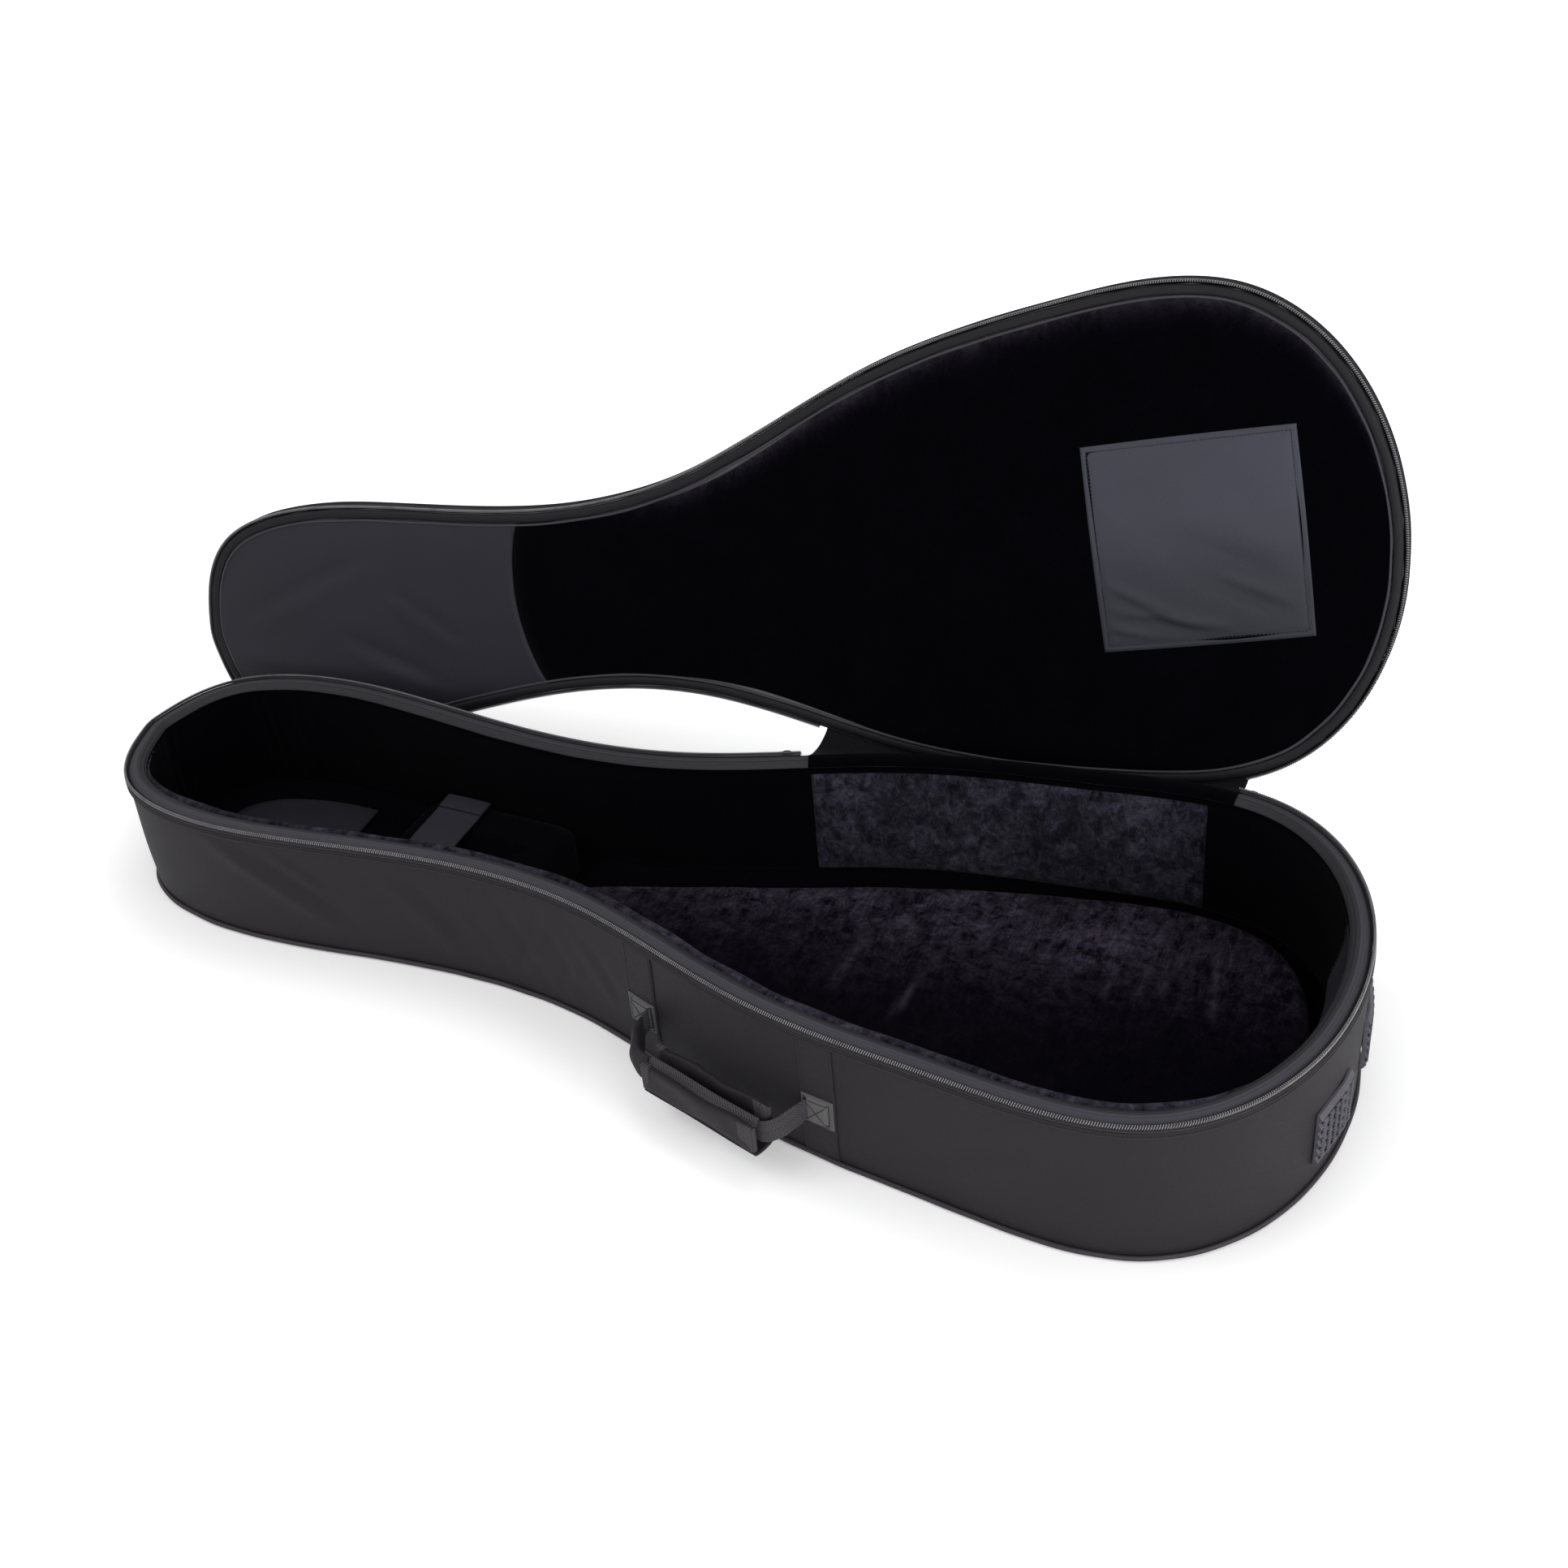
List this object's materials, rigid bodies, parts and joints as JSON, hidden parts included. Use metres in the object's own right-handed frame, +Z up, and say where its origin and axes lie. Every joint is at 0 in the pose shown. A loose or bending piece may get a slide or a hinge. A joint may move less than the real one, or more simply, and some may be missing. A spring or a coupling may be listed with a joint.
{
  "type": "acoustic bass guitar gig bag",
  "caption": "Padded soft case for an acoustic bass: a teardrop foam-walled tray with plush lining, neck cradle and side carry handle, and a zip-round lid that hinges open on its long side.",
  "frame": {"origin": "on the floor, under the middle of the case's length and width (the open lid not counted)", "axes": "+X along the case from the head end to the butt end, +Y towards the hinge side, +Z up from the floor that the case lies on"},
  "size_m": [1.3006, 0.6709, 0.5762],
  "materials": {
    "nylon": "dark charcoal woven nylon",
    "nylon_grey": "smooth blue-grey nylon",
    "plush": "near-black short plush",
    "foam": "closed-cell foam sheet",
    "webbing": "herringbone webbing",
    "vinyl_grey": "stitched grey patch cloth",
    "zip_tape": "zipper tape",
    "zip_teeth": "coil zipper chain",
    "hardware": "dark zipper slider and pull",
    "rubber": "ribbed rubber"
  },
  "bodies": {
    "case": {"back_cover": "nylon", "bottom_piping": "nylon", "side_cover": "nylon", "band_head": "nylon", "band_butt": "nylon", "butt_guard": "nylon_grey", "rim_binding": "nylon_grey", "hinge_case_edge": "nylon_grey", "head_floor_patch": "nylon_grey", "floor_lining": "plush", "floor_pad": "plush", "side_lining": "plush", "far_wall_pad": "plush", "cradle_block": "plush", "back_foam": "foam", "side_foam_far_neck": "foam", "side_foam_far_bout": "foam", "side_foam_butt": "foam", "side_foam_near_bout": "foam", "side_foam_near_neck": "foam", "side_foam_head": "foam", "hinge_tab_head": "webbing", "hinge_tab_butt": "webbing", "strap_anchor": "webbing", "strap_catch": "webbing", "handle_lug_head": "webbing", "handle_lug_butt": "webbing", "anchor_patch_head": "vinyl_grey", "anchor_patch_butt": "vinyl_grey", "case_zip_tape": "zip_tape", "case_zip_chain": "zip_teeth", "slider_head": "hardware", "slider_butt": "hardware", "bumper_far": "rubber", "bumper_near": "rubber"},
    "lid": {"lid_cover": "nylon", "lid_foam": "foam", "lid_lining": "plush", "lid_head_lining": "nylon_grey", "lid_patch": "nylon_grey", "lid_lip": "nylon_grey", "lid_zip_tape": "zip_tape", "lid_zip_chain": "zip_teeth", "hinge_lid_edge": "nylon_grey", "lid_piping": "nylon", "pocket_panel": "nylon", "pocket_piping": "nylon", "pocket_zip_tape": "zip_tape", "pocket_zip_chain": "zip_teeth"},
    "hinge_strip": {"hinge_strip": "nylon_grey"},
    "handle": {"handle_webbing": "webbing", "grip_spine": "nylon"},
    "grip_front": {"grip_front": "nylon"},
    "grip_back": {"grip_back": "nylon"},
    "neck_strap": {"neck_strap": "webbing"},
    "pull_head": {"pull_head": "hardware"},
    "pull_butt": {"pull_butt": "hardware"},
    "pocket_slider": {"pocket_slider": "hardware"},
    "pocket_pull": {"pocket_pull": "hardware"}
  },
  "joints": [
    {"name": "lid_hinge", "type": "hinge", "parent": "case", "child": "hinge_strip", "pos_m": [0.25, 0.22341, 0.15649], "axis": [0.9915, 0.1304, 0.0021], "range_deg": [0, 54]},
    {"name": "lid_fold", "type": "hinge", "parent": "hinge_strip", "child": "lid", "pos_m": [0.25, 0.17902, 0.1226], "axis": [0.9812, 0.1872, 0.0464], "range_deg": [0, 54.08]},
    {"name": "handle_swing", "type": "hinge", "parent": "case", "child": "handle", "pos_m": [0.11673, -0.18575, 0.06], "axis": [-0.9588, 0.2842, 0], "range_deg": [0, 40]},
    {"name": "grip_front_fold", "type": "hinge", "parent": "handle", "child": "grip_front", "pos_m": [0.10508, -0.22506, 0.0359], "axis": [0.9588, -0.2842, 0], "range_deg": [-12, 45]},
    {"name": "grip_back_fold", "type": "hinge", "parent": "handle", "child": "grip_back", "pos_m": [0.11133, -0.20396, 0.0359], "axis": [0.9588, -0.2842, 0], "range_deg": [0, 12]},
    {"name": "neck_strap_lift", "type": "hinge", "parent": "case", "child": "neck_strap", "pos_m": [-0.297, 0.0516, 0.0636], "axis": [-1, 0, 0], "range_deg": [0, 50]},
    {"name": "pull_head_swing", "type": "hinge", "parent": "case", "child": "pull_head", "pos_m": [0.0347, 0.15755, 0.14386], "axis": [0.9376, 0.3477, 0], "range_deg": [0, 85]},
    {"name": "pull_butt_swing", "type": "hinge", "parent": "case", "child": "pull_butt", "pos_m": [0.48378, 0.22915, 0.15189], "axis": [0.9832, -0.1827, 0], "range_deg": [0, 85]},
    {"name": "pocket_slider_slide", "type": "slide", "parent": "lid", "child": "pocket_slider", "axis": [0.9677, 0.171, 0.1853], "range_m": [0, 0.26]},
    {"name": "pocket_pull_lift", "type": "hinge", "parent": "pocket_slider", "child": "pocket_pull", "pos_m": [0.07758, 0.35077, 0.38718], "axis": [-0.2281, 0.2805, 0.9324], "range_deg": [0, 90]}
  ],
  "couplings": [
    {"joint": "lid_fold", "follows": "lid_hinge", "ratio": 1.0014}
  ]
}
